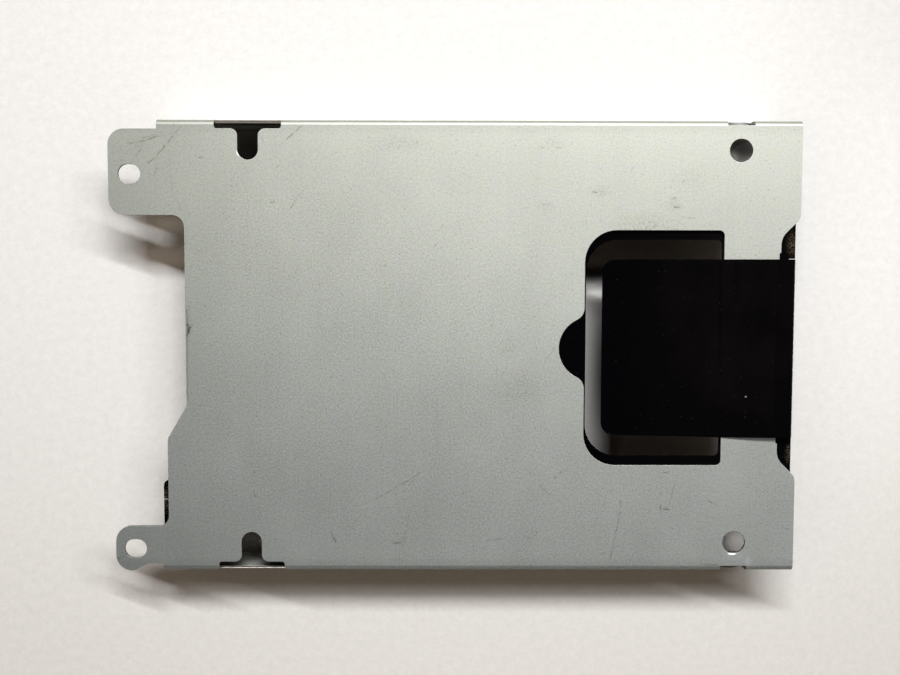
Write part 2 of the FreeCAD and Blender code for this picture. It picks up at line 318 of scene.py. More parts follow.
sheetLook = {
    "zinc": (0.563, 0.583, 0.537, 1.0),
    "warmTint": (1.005, 1.0, 0.97, 1.0),
    "coolTint": (1.005, 0.99, 1.02, 1.0),
    "tintRange": 0.2,                    # of the mottle, either way
    # painted reflection tint: cooler on the side towards the viewer, warmer behind
    "frontTint": (1.0, 1.0, 1.035, 1.0),
    "backTint": (1.0, 0.995, 0.975, 1.0),
    "tintReach": 34.0,
    "roughness": 0.54,
    "fineGrain": (0.28, 0.28, 0.28),     # spacings along x, y and z in millimetres
    "streaks": (0.7, 30.0, 4.0),         # rolling marks along Y
    "clouds": (9.0, 14.0, 9.0),
    "mottle": (1.1, 0.9, 1.0),
    "fineDepth": 0.44,                   # how much each of them shows
    "streakDepth": 0.04,
    "cloudDepth": 0.06,
    "fineRoughness": 0.12,
    "cloudRoughness": 0.05,
    "grimeRoughness": 0.1,
    "bumpStrength": 0.25,
    "bumpDepth": 0.00002,                # metres
    "shadedEnd": (-55.0, -22.0, 0.89),     # painted shade on the end with the ears: from x to x, share there
    "shadedSide": (10.0, 34.0, 0.965),     # painted shade on the side towards the wide ear: from y to y, share there
    "shadedRim": (32.8, 34.4, 0.93),       # painted shade on the strips along both bends
    "shadedFrontRim": (-33.0, -34.5, 0.9),
    "dullBend": 0.62,                    # painted shade on the bend at the wide ear's side
    "paleBend": 1.45,                    # painted highlight on the outermost line of that bend
    "darkBend": 0.4,                     # painted shade on the bend at the other side
    "shadedBendZone": (0.1, 0.3, 0.3, 0.75),    # in bend radii: from and to across, from and to upwards
    "paleBendZone": (0.6, 0.8, 0.0, 0.1),
    "darkBendZone": (0.5, 0.8, 0.02, 0.2),
    "flangeZone": (0.0, 0.05),           # from and to upwards
    "speckColour": (0.22, 0.21, 0.185, 1.0),
    "specks": {"Spacing": 0.9, "Size": 0.17, "Share": 0.5},
    "speckStrength": 0.62,
    "pits": {"Spacing": 0.42, "Size": 0.24, "Share": 0.3},
    "pitStrength": 0.45,
    "ticks": {"Spacing": 2.3, "Length": 0.45, "Width": 0.16},
    "tickStrength": 0.4,
    "grimeColour": (0.13, 0.108, 0.072, 1.0),
    "grimeStrength": 0.85,
    "grimeGrain": (0.3, 0.3, 0.3),
    "grimeBreaks": (0.0, 0.2, 0.1, 0.45),     # from and to in the grain, share from and to
    "crumbs": {"Spacing": 0.5, "Size": 0.36, "Share": 0.45},
    "scratchColour": (0.15, 0.145, 0.13, 1.0),
    "scratchStrength": 0.68,
    "scratchGrain": (0.6, 0.6, 0.6),
    "scratchBreaks": (-0.15, 0.1, 0.2, 1.0),
    "wobble": 0.3,                       # scratches stray by up to half of this
    "wobbleScale": 0.9,
    "paleColour": (0.74, 0.77, 0.78, 1.0),
    "glintColour": (1.0, 1.0, 0.98, 1.0),
    "cutZone": (0.03, 0.06),             # depth below the outer face at which a cut edge begins
    "innerZone": (0.44, 0.48),           # and at which an inner face does
    "innerShade": 0.6,                   # painted shade on inner faces
    "burnishColour": (0.50, 0.465, 0.43, 1.0),
    "burnishSides": (-1.0, 1.0, 0.55, 1.0),   # painted shade on cut edges towards the viewer: from y to y, share left of it towards the viewer and behind
    "burnishRoughness": 0.4,
    "burnishFrom": 0.1,                  # on a cut edge, depth below the outer face
    "burnishTo": 0.24,
    "burnishBlur": 0.03,
    "fractureColour": (0.20, 0.175, 0.15, 1.0),
    "fractureRoughness": 0.55,
    "tornGrain": (0.12, 0.12, 0.5),
    "tornDepth": 0.7,
    "tornBump": 2.0,
    "leanStrength": 1.0,                 # burnished edges and rolled rims lean
    "leanDepth": 0.0006,                 # metres
    "flangeFrom": -46.4,                 # the ears lie past this end of the bends
    "bendRadius": 0.9,                   # outside
    "edgeRound": 0.03,
    "edgeSteps": 2,
    "sharpAngle": 35.0,                  # degrees
    "scratches": [                       # x, y to x, y on the outer face, width, strength
        (-42.5, 34.3, -43.9, 32.7, 0.16, 0.5), (-43.9, 32.7, -45.0, 31.3, 0.2, 0.8),
        (-45.0, 31.3, -45.7, 30.5, 0.22, 0.95), (-45.7, 30.5, -46.4, 29.6, 0.2, 0.7),
        (-46.4, 29.6, -47.6, 28.7, 0.18, 0.8), (-43.1, 33.3, -46.4, 32.7, 0.14, 0.45),
        (-46.4, 32.7, -48.7, 32.0, 0.24, 0.8), (-48.7, 32.0, -50.7, 31.6, 0.18, 0.5),
        (-45.2, 33.5, -48.4, 32.5, 0.16, 0.45), (-48.8, 30.7, -49.5, 29.9, 0.3, 0.55),
        (-46.2, 28.0, -46.8, 26.7, 0.2, 0.7), (-40.9, 32.2, -41.1, 28.5, 0.12, 0.3),
        (-44.3, 29.9, -44.2, 27.1, 0.12, 0.35), (-44.2, 27.1, -43.9, 24.8, 0.12, 0.4),
        (-43.9, 24.8, -42.5, 21.2, 0.12, 0.35), (-39.7, 29.5, -39.0, 29.6, 0.26, 0.5),
        (-28.8, 22.7, -28.1, 22.8, 0.26, 0.6), (-30.5, 33.0, -30.0, 32.7, 0.14, 0.7),
        (-30.0, 32.7, -29.8, 32.0, 0.14, 0.6), (-23.7, 34.5, -25.0, 33.4, 0.16, 0.75),
        (-25.0, 33.4, -26.1, 32.4, 0.18, 0.95), (-26.1, 32.4, -27.4, 31.4, 0.14, 0.35),
        (-22.9, 25.4, -24.6, 23.4, 0.13, 0.45), (-24.6, 23.4, -25.7, 21.7, 0.15, 0.6),
        (-27.4, 28.4, -27.7, 28.1, 0.2, 0.6), (-53.6, 28.6, -51.9, 28.3, 0.13, 0.5),
        (-1.8, 19.4, -2.7, 18.2, 0.14, 0.4), (-2.7, 16.6, -3.3, 15.8, 0.16, 0.5),
        (-3.6, 6.0, -2.4, 4.9, 0.14, 0.3), (27.6, 28.3, 27.3, 27.5, 0.18, 0.6),
        (35.5, 26.2, 35.2, 25.7, 0.2, 0.6), (33.5, 23.4, 34.2, 23.5, 0.26, 0.8),
        (34.0, 22.1, 34.8, 22.1, 0.24, 0.85), (40.7, 21.3, 41.4, 21.3, 0.2, 0.6),
        (35.2, 20.6, 37.3, 20.4, 0.16, 0.5), (21.3, 24.4, 22.0, 24.3, 0.2, 0.8),
        (20.5, 20.2, 20.4, 19.5, 0.18, 0.7), (15.7, 31.2, 16.5, 31.2, 0.18, 0.6),
        (13.1, 31.3, 13.6, 31.1, 0.22, 0.6), (-2.6, -17.7, -4.2, -19.8, 0.13, 0.4),
        (-5.3, -19.7, -7.4, -21.0, 0.14, 0.55), (-7.4, -21.0, -10.5, -22.8, 0.15, 0.7),
        (-10.5, -22.8, -12.4, -23.9, 0.16, 0.75), (-13.8, -25.5, -17.5, -29.0, 0.13, 0.25),
        (-9.5, -22.8, -8.8, -26.1, 0.13, 0.35), (-6.5, -20.8, -8.0, -22.8, 0.13, 0.4),
        (-7.2, -26.3, -8.2, -31.2, 0.14, 0.5), (-9.9, -31.1, -8.4, -30.9, 0.22, 0.8),
        (-19.6, -29.4, -19.2, -30.2, 0.2, 0.6), (-19.2, -30.2, -18.9, -30.8, 0.26, 0.8),
        (17.0, -19.4, 15.7, -20.6, 0.16, 0.75), (13.4, -21.8, 15.1, -23.3, 0.15, 0.6),
        (15.1, -23.3, 16.7, -24.3, 0.12, 0.3), (26.3, -24.1, 26.2, -26.6, 0.16, 0.75),
        (26.2, -26.6, 25.3, -30.6, 0.15, 0.75), (25.3, -30.6, 24.7, -33.9, 0.15, 0.7),
        (25.7, -25.1, 25.8, -27.0, 0.12, 0.35), (26.1, -31.4, 23.2, -32.9, 0.15, 0.55),
        (24.0, -23.5, 22.0, -28.6, 0.12, 0.4), (34.8, -21.4, 34.1, -24.7, 0.15, 0.6),
        (32.7, -24.9, 32.6, -25.8, 0.22, 0.7), (33.2, -25.5, 34.0, -25.6, 0.2, 0.8),
        (32.9, -19.7, 33.8, -19.6, 0.18, 0.7), (4.9, -30.6, 7.6, -30.3, 0.15, 0.55),
        (11.1, -29.9, 12.3, -30.3, 0.16, 0.6), (12.4, -30.0, 13.2, -29.2, 0.15, 0.55),
        (40.2, -24.2, 41.5, -24.8, 0.22, 0.6), (-31.7, -22.9, -31.6, -23.6, 0.2, 0.7),
        (39.1, -34.4, 41.8, -34.5, 0.16, 0.8), (41.9, -32.1, 42.4, -33.1, 0.14, 0.4),
        (42.4, -33.1, 43.4, -33.7, 0.14, 0.45), (43.4, -33.7, 44.7, -34.1, 0.14, 0.4),
        (52.2, -28.4, 53.1, -28.8, 0.16, 0.5), (14.1, -1.9, 15.5, 0.0, 0.14, 0.5),
        (-11.8, 12.8, -10.8, 13.1, 0.16, 0.5), (0.9, -4.5, 1.0, -11.6, 0.12, 0.3),
        (-2.8, -7.8, -2.8, -16.5, 0.12, 0.25),
    ],
    "grime": [                           # broken patches: x, y, reach along x and y, strength
        (9.6, -6.3, 7.0, 4.6, 0.8), (8.6, 0.0, 2.6, 2.6, 0.55), (22.4, 24.5, 2.6, 1.4, 0.6),
        (29.6, 18.4, 8.5, 3.8, 1.0), (34.0, 22.4, 2.2, 1.8, 0.6), (14.1, 22.1, 2.0, 1.4, 0.5),
        (-8.4, 31.8, 5.5, 2.0, 0.65), (14.8, 31.8, 2.2, 1.6, 0.5), (-41.7, 4.1, 0.8, 4.5, 0.9),
        (-42.1, 16.5, 0.5, 0.6, 1.0), (-49.0, 31.6, 2.4, 1.6, 0.5), (37.0, 26.5, 5.0, 3.0, 0.3),
        (-9.2, -31.0, 1.4, 0.7, 0.9), (33.3, -25.4, 1.3, 0.7, 0.8),
    ],
    "clots": [                           # dark dirt along the edge between the ears
        (-41.75, 2.95, -41.76, 2.45, 0.4, 1.0), (-41.6, 3.15, -41.42, 3.2, 0.25, 0.9),
        (-41.95, 3.65, -41.8, 3.3, 0.3, 0.9), (-41.97, 2.3, -41.97, 1.95, 0.25, 0.8),
        (-41.97, 5.9, -41.95, 5.7, 0.22, 0.6), (-41.98, 5.6, -41.98, 0.5, 0.22, 0.4),
        (-42.0, 0.5, -42.05, -8.0, 0.18, 0.35), (-41.4, 3.6, -41.1, 3.66, 0.15, 0.5),
    ],
    "rubbed": [                          # pale patches
        (46.7, -33.9, 0.9, 1.4, 0.5), (44.6, -33.2, 3.2, 2.2, 0.2),
    ],
    "landHeight": 7.4,
    "landReach": 2.5,
    "brightLands": [(44.5, 35.25, 3.4, 0.9, 0.9)],   # painted highlight on a cut edge of the flange
    "rimHeight": 9.25,
    "rimReach": 1.0,
    "brightRims": [(44.6, -32.75, 1.0, 0.5, 1.0)],   # painted glint on the wall of the small hole towards the viewer
    "rolledRims": [                      # drawn in by the punch
        (44.15, -32.5, 0.95, 0.42, 0.26), (-33.55, 30.6, 0.5, 0.9, 0.15),
    ],
    "insideHeight": 8.0,
    "insideReach": 4.0,
    "darkInside": [                      # painted shade on the inner faces of the flanges behind the T-shaped cuts
        (-33.0, 35.0, 14.0, 0.45, 0.95), (-37.4, -35.0, 4.5, 0.45, 0.95),
        (-27.8, -35.0, 4.5, 0.45, 0.95),
    ],
    # painted light on the inner face of the front flange behind its T-shaped cut
    "paleInside": [(-32.6, -35.0, 3.4, 0.45, 1.9)],
    "brighter": [(9.0, 9.0, 32.0, 22.0, 0.07)],      # broad, faint brighter and darker patches on the top face
    "darkerPatches": [(-46.0, -33.0, 30.0, 16.0, 0.08), (-14.0, -24.0, 24.0, 16.0, 0.05)],
}


def bendZone(tree, across, up, side, limits):
    acrossFrom, acrossTo, upFrom, upTo = limits
    zone = calc(tree, "MULTIPLY", ramp(tree, across, acrossFrom, acrossTo), ramp(tree, up, upFrom, upTo))
    return calc(tree, "MULTIPLY", side, zone)


def sheetZones(tree, place):
    look = sheetLook
    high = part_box("drive_bracket")[1]
    height = high[2] * perMetre
    side = high[1] * perMetre
    bend = look["bendRadius"]
    parts = splitPlace(tree, place)
    across = calc(tree, "SUBTRACT", calc(tree, "ABSOLUTE", parts["Y"]), side - bend)
    across = calc(tree, "DIVIDE", calc(tree, "MAXIMUM", across, 0.0), bend)
    across = calc(tree, "MULTIPLY", across, calc(tree, "GREATER_THAN", parts["X"], look["flangeFrom"]))
    up = calc(tree, "SUBTRACT", parts["Z"], height - bend)
    up = calc(tree, "DIVIDE", calc(tree, "MAXIMUM", up, 0.0), bend)
    corner = addNode(tree, "ShaderNodeCombineXYZ", inputs={"X": across, "Y": up}).outputs[0]
    below = calc(tree, "SUBTRACT", 1.0, lengthOf(tree, corner))
    front = calc(tree, "LESS_THAN", parts["Y"], 0.0)
    back = calc(tree, "SUBTRACT", 1.0, front)
    return {
        "depth": calc(tree, "MULTIPLY", below, bend),   # millimetres below the outer face
        "dullBend": bendZone(tree, across, up, back, look["shadedBendZone"]),
        "darkBend": bendZone(tree, across, up, front, look["darkBendZone"]),
        "paleBend": bendZone(tree, across, up, back, look["paleBendZone"]),
        "flange": ramp(tree, up, *look["flangeZone"], 1.0, 0.0),
        "x": parts["X"],
        "y": parts["Y"],
    }


def shadeSheet(tree, place, zones, grains, top):
    look = sheetLook
    shade = 1.0
    for name, depth in (("fineGrain", "fineDepth"), ("streaks", "streakDepth"), ("clouds", "cloudDepth")):
        shade = calc(tree, "ADD", shade, calc(tree, "MULTIPLY", grains[name], look[depth]))
    # painted shade on the end with the ears, the side towards the wide ear and the strips along both bends
    shadeFrom, shadeTo, shadeShare = look["shadedEnd"]
    shade = calc(tree, "MULTIPLY", shade, ramp(tree, zones["x"], shadeFrom, shadeTo, shadeShare, 1.0))
    for shadeFrom, shadeTo, shadeShare in (look["shadedSide"], look["shadedRim"], look["shadedFrontRim"]):
        shade = calc(tree, "MULTIPLY", shade, ramp(tree, zones["y"], shadeFrom, shadeTo, 1.0, shadeShare))
    # painted shade on both bends and a painted highlight on the outermost line of the back bend
    for name in ("dullBend", "darkBend", "paleBend"):
        shade = calc(tree, "MULTIPLY", shade, ramp(tree, zones[name], 0.0, 1.0, 1.0, look[name]))
    shade = raiseBy(tree, shade, drawSmudges(tree, place, top, look["brighter"]))
    shade = lowerBy(tree, shade, drawSmudges(tree, place, top, look["darkerPatches"]))
    # painted shade on all inner faces
    innerShade = ramp(tree, zones["depth"], *look["innerZone"], 1.0, look["innerShade"])
    shade = calc(tree, "MULTIPLY", shade, innerShade)
    # painted shade behind the T-shaped cuts and painted light on the front flange's inner face
    inside = ramp(tree, zones["depth"], *look["innerZone"])
    darkInside = drawSmudges(tree, place, look["insideHeight"], look["darkInside"], look["insideReach"])
    shade = lowerBy(tree, shade, calc(tree, "MULTIPLY", darkInside, inside))
    paleInside = drawSmudges(tree, place, look["insideHeight"], look["paleInside"], look["insideReach"])
    return raiseBy(tree, shade, calc(tree, "MULTIPLY", paleInside, inside))


def colourSheet(tree, zones, shade, mottle):
    look = sheetLook
    warmth = ramp(tree, mottle, -look["tintRange"], look["tintRange"])
    tint = blendColour(tree, warmth, look["warmTint"], look["coolTint"])
    colour = calcVector(tree, "SCALE", plainColour(tree, look["zinc"]), shade)
    colour = calcVector(tree, "MULTIPLY", colour, tint)
    # painted reflection tint by side
    across = ramp(tree, zones["y"], -look["tintReach"], look["tintReach"])
    sideTint = blendColour(tree, across, look["frontTint"], look["backTint"])
    return calcVector(tree, "MULTIPLY", colour, sideTint)


def soilSheet(tree, place, colour, top):
    look = sheetLook
    ticks = useGroup(tree, tickGroup, {"Place": place, **look["ticks"]})
    dark = strongest(tree, [
        speckle(tree, place, look["specks"], look["speckStrength"]),
        speckle(tree, place, look["pits"], look["pitStrength"]),
        calc(tree, "MULTIPLY", ticks, look["tickStrength"]),
    ])
    colour = blendColour(tree, dark, colour, look["speckColour"])
    broken = ramp(tree, grain(tree, place, look["grimeGrain"]), *look["grimeBreaks"])
    broken = strongest(tree, [broken, speckle(tree, place, look["crumbs"])])
    grime = calc(tree, "MULTIPLY", drawSmudges(tree, place, top, look["grime"]), broken)
    grimeShare = calc(tree, "MULTIPLY", grime, look["grimeStrength"])
    return blendColour(tree, grimeShare, colour, look["grimeColour"]), grime


def scratchSheet(tree, place, colour, top):
    look = sheetLook
    wobble = addNode(tree, "ShaderNodeTexNoise", inputs={"Vector": place, "Scale": look["wobbleScale"]})
    shaken = calcVector(tree, "SUBTRACT", wobble.outputs["Color"], [effects["noiseMiddle"]] * 3)
    shaken = calcVector(tree, "SCALE", shaken, look["wobble"])
    shaken = calcVector(tree, "ADD", place, calcVector(tree, "MULTIPLY", shaken, effects["levelOnly"]))
    uneven = ramp(tree, grain(tree, place, look["scratchGrain"]), *look["scratchBreaks"])
    scratches = calc(tree, "MULTIPLY", drawScratches(tree, shaken, top, look["scratches"]), uneven)
    scratches = calc(tree, "MULTIPLY", scratches, look["scratchStrength"])
    colour = blendColour(tree, scratches, colour, look["scratchColour"])
    colour = blendColour(tree, drawScratches(tree, shaken, top, look["clots"]), colour, look["grimeColour"])
    return blendColour(tree, drawSmudges(tree, place, top, look["rubbed"]), colour, look["paleColour"])


def cutMasks(tree, depth):
    look = sheetLook
    blur = look["burnishBlur"]
    cut = ramp(tree, depth, *look["cutZone"])
    cut = calc(tree, "MULTIPLY", cut, ramp(tree, depth, *look["innerZone"], 1.0, 0.0))
    burnished = ramp(tree, depth, look["burnishFrom"] - blur, look["burnishFrom"] + blur)
    burnishEnd = ramp(tree, depth, look["burnishTo"] - blur, look["burnishTo"] + blur, 1.0, 0.0)
    return cut, calc(tree, "MULTIPLY", burnished, burnishEnd)


def colourCuts(tree, place, zones, colour, cut, burnished, torn):
    look = sheetLook
    # painted shade on cut edges towards the viewer
    burnishShare = ramp(tree, zones["y"], *look["burnishSides"])
    burnish = calcVector(tree, "SCALE", plainColour(tree, look["burnishColour"]), burnishShare)
    cutColour = blendColour(tree, burnished, look["fractureColour"], burnish)
    tornShade = calc(tree, "ADD", 1.0, calc(tree, "MULTIPLY", torn, look["tornDepth"]))
    colour = blendColour(tree, cut, colour, calcVector(tree, "SCALE", cutColour, tornShade))
    # painted highlight on a cut edge of the flange
    lands = drawSmudges(tree, place, look["landHeight"], look["brightLands"], look["landReach"])
    colour = blendColour(tree, lands, colour, look["paleColour"])
    # painted glint on the wall of the small hole
    rims = drawSmudges(tree, place, look["rimHeight"], look["brightRims"], look["rimReach"])
    return blendColour(tree, calc(tree, "MULTIPLY", rims, cut), colour, look["glintColour"])


def makeSheetMaterial():
    look = sheetLook
    material, tree, output = newMaterial("galvanisedSheet")
    place = placeInMillimetres(tree)
    zones = sheetZones(tree, place)
    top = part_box("drive_bracket")[1][2] * perMetre
    grains = {
        name: grain(tree, place, look[name])
        for name in ("fineGrain", "streaks", "clouds", "mottle", "tornGrain")
    }
    fine = grains["fineGrain"]
    torn = grains["tornGrain"]
    shade = shadeSheet(tree, place, zones, grains, top)
    colour = colourSheet(tree, zones, shade, grains["mottle"])
    colour, grime = soilSheet(tree, place, colour, top)
    colour = scratchSheet(tree, place, colour, top)
    cut, burnished = cutMasks(tree, zones["depth"])
    colour = colourCuts(tree, place, zones, colour, cut, burnished, torn)

    roughness = look["roughness"]
    clouds = grains["clouds"]
    for mask, share in ((fine, "fineRoughness"), (clouds, "cloudRoughness"), (grime, "grimeRoughness")):
        roughness = calc(tree, "ADD", roughness, calc(tree, "MULTIPLY", mask, look[share]))
    cutRoughness = blendValue(tree, burnished, look["fractureRoughness"], look["burnishRoughness"])
    roughness = blendValue(tree, cut, roughness, cutRoughness)

    lean = calc(tree, "MULTIPLY", calc(tree, "MULTIPLY", zones["depth"], burnished), zones["flange"])
    lean = calc(tree, "ADD", lean, drawSmudges(tree, place, top, look["rolledRims"]))
    lean = addNode(tree, "ShaderNodeBump", {"invert": True}, {
        "Height": lean, "Strength": look["leanStrength"], "Distance": look["leanDepth"],
    })
    tornHeight = calc(tree, "MULTIPLY", calc(tree, "MULTIPLY", torn, cut), look["tornBump"])
    bump = addNode(tree, "ShaderNodeBump", inputs={
        "Height": calc(tree, "ADD", fine, tornHeight), "Strength": look["bumpStrength"],
        "Distance": look["bumpDepth"], "Normal": lean.outputs["Normal"],
    })
    surface = addNode(tree, "ShaderNodeBsdfPrincipled", inputs={
        "Base Color": colour, "Roughness": roughness, "Metallic": 1.0, "Normal": bump.outputs["Normal"],
    })
    tree.links.new(surface.outputs["BSDF"], output.inputs["Surface"])
    return material


bracket = weldedCopy("drive_bracket", "bracketShell")
softenEdges(bracket, sheetLook["edgeRound"], sheetLook["edgeSteps"], sheetLook["sharpAngle"])
finishPiece(bracket, makeSheetMaterial())
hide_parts("drive_bracket")
print("bracket made:", len(bracket.data.polygons), "faces")


# black film

filmLook = {
    "black": (0.0007, 0.0007, 0.0011, 1.0),
    "sheen": (0.0030, 0.0022, 0.0025, 1.0),   # painted sheen: towards the fold the tab is a little paler
    "sheenAlong": (24.0, 43.0),               # from x to x
    "sheenAcross": (-14.0, -3.0, 0.3, 1.0),   # from y to y, share from and to
    "foldSheen": (49.8, 50.2, 1.0, 0.65),     # from x to x at the fold, share from and to
    "sheenClouds": (-0.3, 0.3, 0.4, 1.3),     # from and to in the clouds, share from and to
    "fineGrain": (0.25, 0.25, 0.25),          # spacings along x, y and z in millimetres
    "clouds": (5.0, 7.0, 5.0),
    "bumpStrength": 0.05,
    "bumpDepth": 0.00002,                     # metres
    "roughness": 0.2,
    "gloss": 0.06,
    "cloudRoughness": 0.12,
    "residueRoughness": 0.5,
    "dustColour": (0.10, 0.095, 0.085, 1.0),
    "dust": {"Spacing": 0.8, "Size": 0.14, "Share": 0.12},
    "dustStrength": 0.3,
    "powder": {"Spacing": 0.35, "Size": 0.22, "Share": 0.15},
    "powderStrength": 0.1,
    "residueColour": (0.16, 0.125, 0.075, 1.0),
    "residueGrain": (0.22, 0.22, 0.22),
    "residueBreaks": (-0.05, 0.12),           # from and to in the grain
    "paleColour": (0.55, 0.53, 0.5, 1.0),
    "edgeRound": 0.0,                         # film is cut square
    "edgeSteps": 0,
    "sharpAngle": 35.0,                       # degrees
    "residueHeight": 9.0,
    "residue": [                         # dust on the glue that shows past the plate: x, y, reach, strength
        (52.8, 16.4, 1.3, 2.6, 0.55), (53.0, -16.8, 0.9, 2.2, 0.4), (-45.7, -24.0, 0.9, 2.6, 0.35),
    ],
    "creases": [                         # painted shade along creases on the tab, cut out of the painted sheen
        (41.4, 14.2, 41.6, -4.0, 0.5, 0.5), (43.8, 13.1, 43.9, 7.7, 0.9, 0.5),
    ],
    "pale": [                            # pale lines and one crumb
        (-46.1, -24.1, -45.2, -24.1, 0.14, 0.5), (45.6, -7.5, 45.7, -7.5, 0.14, 0.8),
    ],
}


def makeFilmMaterial():
    look = filmLook
    material, tree, output = newMaterial("blackFilm")
    place = placeInMillimetres(tree)
    flat = calcVector(tree, "MULTIPLY", place, effects["levelOnly"])
    parts = splitPlace(tree, place)
    clouds = grain(tree, place, look["clouds"])
    # painted sheen on the tab
    sheen = ramp(tree, parts["X"], *look["sheenAlong"])
    sheen = calc(tree, "MULTIPLY", sheen, ramp(tree, parts["X"], *look["foldSheen"]))
    sheen = calc(tree, "MULTIPLY", sheen, ramp(tree, parts["Y"], *look["sheenAcross"]))
    sheen = calc(tree, "MULTIPLY", sheen, ramp(tree, clouds, *look["sheenClouds"]))
    # painted shade along the creases
    sheen = lowerBy(tree, sheen, drawScratches(tree, flat, 0.0, look["creases"]))
    colour = blendColour(tree, sheen, look["black"], look["sheen"])
    dust = strongest(tree, [
        speckle(tree, place, look["dust"], look["dustStrength"]),
        speckle(tree, place, look["powder"], look["powderStrength"]),
    ])
    colour = blendColour(tree, dust, colour, look["dustColour"])
    broken = ramp(tree, grain(tree, place, look["residueGrain"]), *look["residueBreaks"])
    residue = drawSmudges(tree, place, look["residueHeight"], look["residue"])
    residue = calc(tree, "MULTIPLY", residue, broken)
    colour = blendColour(tree, residue, colour, look["residueColour"])
    colour = blendColour(tree, drawScratches(tree, flat, 0.0, look["pale"]), colour, look["paleColour"])
    roughness = look["roughness"]
    for mask, share in ((clouds, "cloudRoughness"), (residue, "residueRoughness")):
        roughness = calc(tree, "ADD", roughness, calc(tree, "MULTIPLY", mask, look[share]))
    bump = addNode(tree, "ShaderNodeBump", inputs={
        "Height": grain(tree, place, look["fineGrain"]), "Strength": look["bumpStrength"],
        "Distance": look["bumpDepth"],
    })
    surface = addNode(tree, "ShaderNodeBsdfPrincipled", inputs={
        "Base Color": colour, "Roughness": roughness, "Specular IOR Level": look["gloss"],
        "Normal": bump.outputs["Normal"],
    })
    tree.links.new(surface.outputs["BSDF"], output.inputs["Surface"])
    return material


film = weldedCopy("insulator_film", "filmSheet")
softenEdges(film, filmLook["edgeRound"], filmLook["edgeSteps"], filmLook["sharpAngle"])
finishPiece(film, makeFilmMaterial())
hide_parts("insulator_film")
print("film made:", len(film.data.polygons), "faces")


# loose dust on the film

dustLook = {
    "pale": (0.34, 0.32, 0.28, 1.0),
    "brown": (0.17, 0.13, 0.08, 1.0),
    "roughness": 0.8,
    "toneGrain": (0.6, 0.6, 0.6),
    "toneRange": 0.15,       # of the grain, either way
    "seed": 11,
    "above": 12.0,           # flakes are dropped from here
    "drop": 6.0,
    "flatness": 0.35,
    "tilt": 0.4,             # radians at most
    "flakeSteps": 1,
    "areas": {               # middle x, y, size along x, y, flakes per mm2, smallest and largest radius
        "tabDust": (37.5, 0.0, 23.0, 26.0, 0.12, 0.012, 0.03),
        "backNotchDust": (52.7, 15.9, 1.0, 2.4, 9.0, 0.015, 0.05),
        "frontNotchDust": (52.8, -16.3, 0.8, 2.2, 6.0, 0.015, 0.05),
        "tongueDust": (-45.7, -24.4, 0.6, 6.0, 4.0, 0.015, 0.05),
    },
}


def makeFlakeGroup():
    tree = bpy.data.node_groups.new("flakes", "GeometryNodeTree")
    inputs = {
        "Surface": "Object", "Middle": "Vector", "Size X": "Float", "Size Y": "Float",
        "Drop": "Float", "Density": "Float", "Smallest": "Vector", "Largest": "Vector",
        "Seed": "Int", "Material": "Material",
    }
    for name, kind in inputs.items():
        tree.interface.new_socket(name, in_out="INPUT", socket_type="NodeSocket" + kind)
    tree.interface.new_socket("Flakes", in_out="OUTPUT", socket_type="NodeSocketGeometry")
    given = addNode(tree, "NodeGroupInput").outputs
    sheet = addNode(tree, "GeometryNodeMeshGrid", inputs={
        "Size X": given["Size X"], "Size Y": given["Size Y"], "Vertices X": 2, "Vertices Y": 2,
    }).outputs["Mesh"]
    sheet = addNode(tree, "GeometryNodeTransform", inputs={
        "Geometry": sheet, "Translation": given["Middle"],
    }).outputs["Geometry"]
    points = addNode(tree, "GeometryNodeDistributePointsOnFaces", inputs={
        "Mesh": sheet, "Density": given["Density"], "Seed": given["Seed"],
    }).outputs["Points"]
    surface = addNode(tree, "GeometryNodeObjectInfo", inputs={
        "Object": given["Surface"],
    }).outputs["Geometry"]
    hit = addNode(tree, "GeometryNodeRaycast", inputs={
        "Target Geometry": surface, "Ray Direction": (0.0, 0.0, -1.0), "Ray Length": given["Drop"],
    }).outputs
    missed = addNode(tree, "FunctionNodeBooleanMath", {"operation": "NOT"}, {0: hit["Is Hit"]}).outputs[0]
    landed = addNode(tree, "GeometryNodeSetPosition", inputs={
        "Geometry": points, "Position": hit["Hit Position"],
    }).outputs["Geometry"]
    landed = addNode(tree, "GeometryNodeDeleteGeometry", inputs={
        "Geometry": landed, "Selection": missed,
    }).outputs["Geometry"]
    flake = addNode(tree, "GeometryNodeMeshIcoSphere", inputs={
        "Radius": 1.0, "Subdivisions": dustLook["flakeSteps"],
    }).outputs["Mesh"]
    size = addNode(tree, "FunctionNodeRandomValue", {"data_type": "FLOAT_VECTOR"}, {
        0: given["Smallest"], 1: given["Largest"], "Seed": given["Seed"],
    }).outputs[0]
    largestTurn = (dustLook["tilt"], dustLook["tilt"], 2 * math.pi)
    turn = addNode(tree, "FunctionNodeRandomValue", {"data_type": "FLOAT_VECTOR"}, {
        0: (0.0, 0.0, 0.0), 1: largestTurn, "Seed": given["Seed"],
    }).outputs[0]
    spread = addNode(tree, "GeometryNodeInstanceOnPoints", inputs={
        "Points": landed, "Instance": flake, "Rotation": turn, "Scale": size,
    }).outputs["Instances"]
    solid = addNode(tree, "GeometryNodeRealizeInstances", inputs={"Geometry": spread}).outputs["Geometry"]
    dressed = addNode(tree, "GeometryNodeSetMaterial", inputs={
        "Geometry": solid, "Material": given["Material"],
    }).outputs["Geometry"]
    tree.links.new(dressed, addNode(tree, "NodeGroupOutput").inputs["Flakes"])
    return tree


